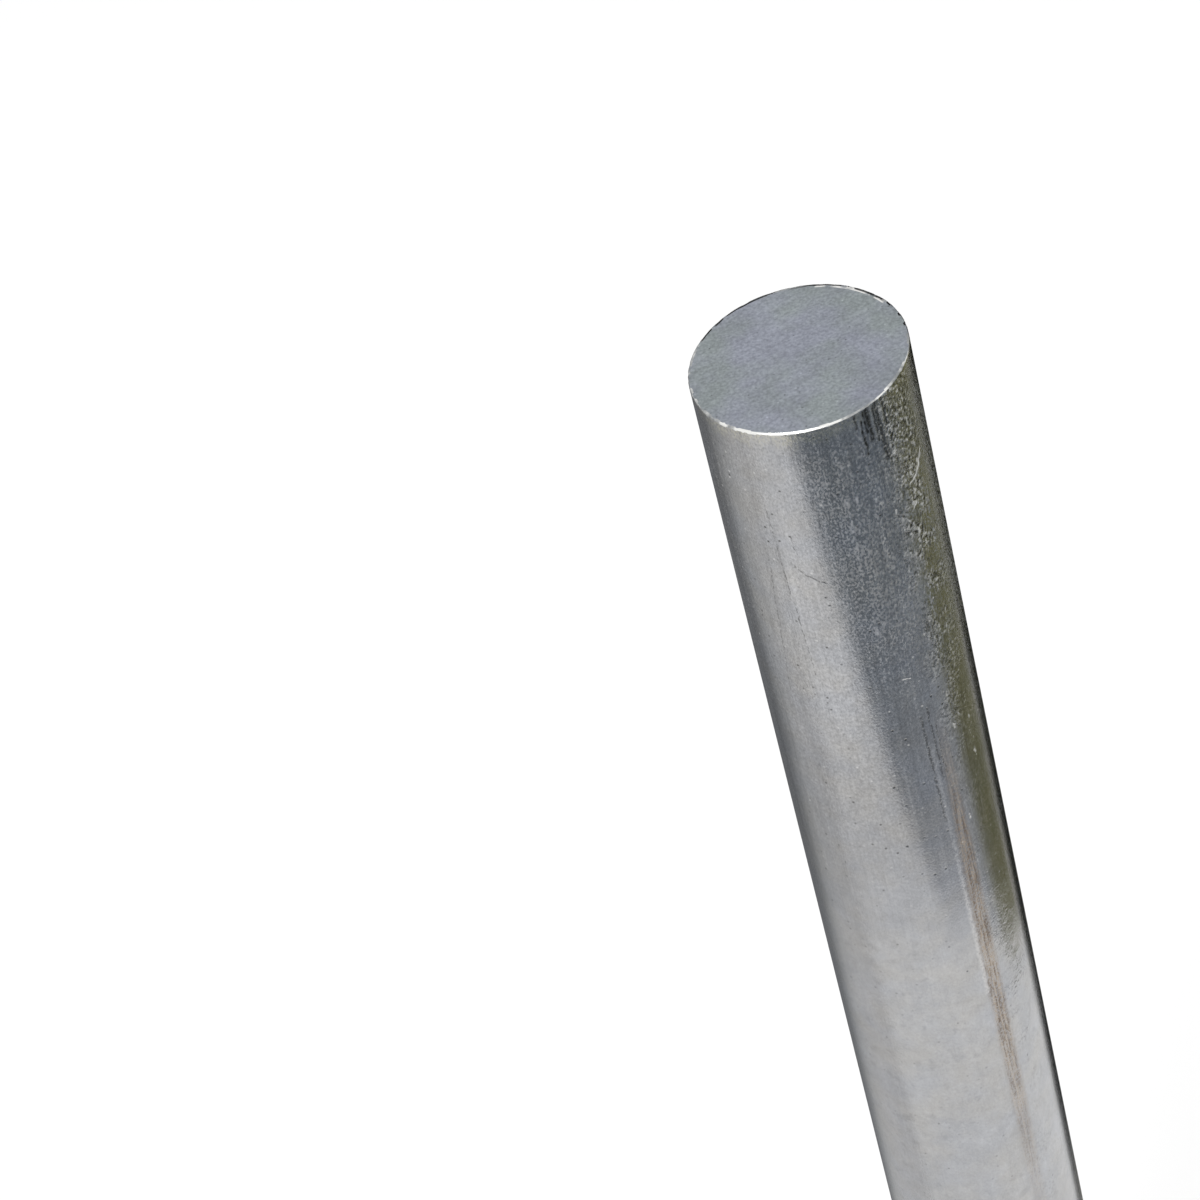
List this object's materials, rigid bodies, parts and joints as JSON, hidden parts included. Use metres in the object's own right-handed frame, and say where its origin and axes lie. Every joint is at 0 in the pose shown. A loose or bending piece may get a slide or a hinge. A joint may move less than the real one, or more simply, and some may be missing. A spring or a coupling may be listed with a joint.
{
  "type": "round metal bar",
  "caption": "Solid round bar of mill-finish aluminium, sawn square at both ends with lightly broken edges; raw stock for turning, pins, spacers and frames.",
  "frame": {"origin": "centre of the foot end face, on the surface that the bar stands on", "axes": "+Z along the bar from the foot end to the top end; X and Y are any two directions across the round section"},
  "size_m": [0.0254, 0.0254, 0.3048],
  "materials": {
    "mill_aluminium": "mill finish as extruded, satin with fine lines along the length; sawn ends"
  },
  "bodies": {
    "root": {"round_bar": "mill_aluminium"}
  },
  "joints": []
}
